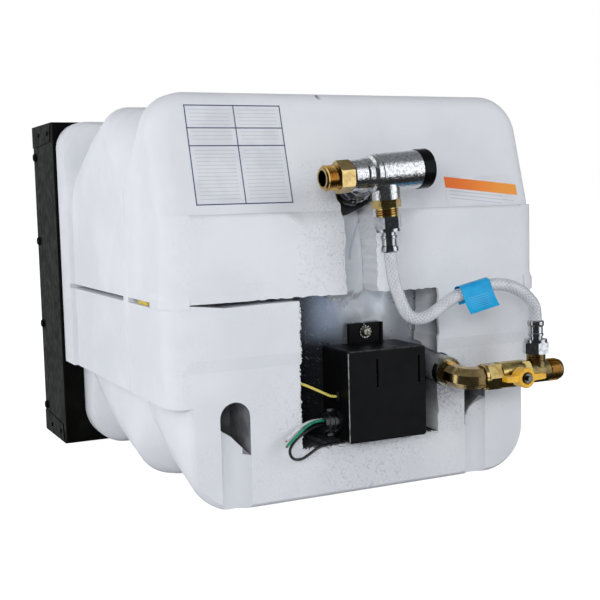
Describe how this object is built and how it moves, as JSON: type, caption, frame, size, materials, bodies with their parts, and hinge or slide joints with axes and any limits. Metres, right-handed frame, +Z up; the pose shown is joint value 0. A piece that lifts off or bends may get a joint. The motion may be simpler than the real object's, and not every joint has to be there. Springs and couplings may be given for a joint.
{
  "type": "rv water heater",
  "caption": "Foam-jacketed water heater for a camper, with a sheet-metal pan, a mixing valve, a bypass ball valve and a wiring box.",
  "frame": {"origin": "on the base, under the middle of the foam jacket", "axes": "+Y to the plumbing side, -Y to the pan that opens outdoors, +Z up, the heater standing on its base"},
  "size_m": [0.434, 0.562, 0.3945],
  "materials": {
    "foam": "moulded foam",
    "tank_metal": "satin",
    "pan_black": "satin",
    "chrome_plate": "polished cast",
    "brass_metal": "machined",
    "cap_black": "gloss",
    "hose_clear": "clear over braid",
    "flag_blue": "satin",
    "handle_yellow": "gloss",
    "zinc_steel": "plated",
    "pipe_grey": "satin",
    "box_black": "satin",
    "clamp_black": "gloss",
    "wire_yellow": "gloss",
    "wire_green": "gloss",
    "wire_white": "gloss",
    "wire_black": "gloss",
    "steel_plain": "satin",
    "gasket_rubber": "matte",
    "sheet_paper": "matte",
    "valve_cast": "cast",
    "ceramic_white": "gloss"
  },
  "bodies": {
    "root": {"foam_upper": "foam", "foam_lower": "foam", "tank": "tank_metal", "flue_tube": "steel_plain", "pan_body": "pan_black", "pan_top": "pan_black", "pan_bottom": "pan_black", "pan_rivets": "pan_black", "hot_outlet_nipple": "brass_metal", "union_nut": "chrome_plate", "mixing_valve_body": "chrome_plate", "mixing_valve_cap": "cap_black", "mixed_outlet_nipple": "brass_metal", "branch_adapter": "brass_metal", "hose_nut_upper": "chrome_plate", "hose_ferrule_upper": "chrome_plate", "hose": "hose_clear", "hose_flag": "flag_blue", "hose_nut_lower": "chrome_plate", "hose_ferrule_lower": "chrome_plate", "inlet_tee": "brass_metal", "bypass_valve_body": "brass_metal", "stem_washer": "brass_metal", "inlet_elbow": "brass_metal", "inlet_nipple": "pipe_grey", "inlet_collar": "zinc_steel", "box_base": "box_black", "box_cover": "box_black", "box_screw": "zinc_steel", "cable_clamp": "clamp_black", "clamp_nut": "zinc_steel", "wire_bush": "clamp_black", "wire_yellow": "wire_yellow", "wire_green": "wire_green", "wire_white": "wire_white", "wire_black": "wire_black", "heating_element": "zinc_steel", "element_gasket": "gasket_rubber", "relief_valve_body": "brass_metal", "relief_pin": "steel_plain", "gas_valve": "valve_cast", "gas_inlet_fitting": "brass_metal", "orifice_tube": "steel_plain", "burner": "steel_plain", "igniter": "ceramic_white", "exhaust_box": "steel_plain", "drain_plug": "zinc_steel", "thermostat_cover": "clamp_black", "control_cover": "box_black", "caution_sheets": "sheet_paper"},
    "bypass_grip": {"bypass_handle": "handle_yellow", "bypass_stem": "brass_metal", "bypass_ball": "chrome_plate", "handle_nut": "zinc_steel"},
    "relief_arm": {"relief_lever": "steel_plain"},
    "relief_spindle": {"relief_stem": "steel_plain"}
  },
  "joints": [
    {"name": "bypass_turn", "type": "hinge", "parent": "root", "child": "bypass_grip", "pos_m": [-0.137, 0.23, 0.1105], "axis": [0, 1, 0], "range_deg": [0, 90]},
    {"name": "relief_lift", "type": "hinge", "parent": "root", "child": "relief_arm", "pos_m": [0.092, -0.2045, 0.3005], "axis": [-1, 0, 0], "range_deg": [0, 80]},
    {"name": "relief_slide", "type": "slide", "parent": "root", "child": "relief_spindle", "axis": [0, 0, 1], "range_m": [0, 0.0026]}
  ],
  "couplings": [
    {"joint": "relief_slide", "follows": "relief_lift", "m_per_rad": 0.00179}
  ]
}
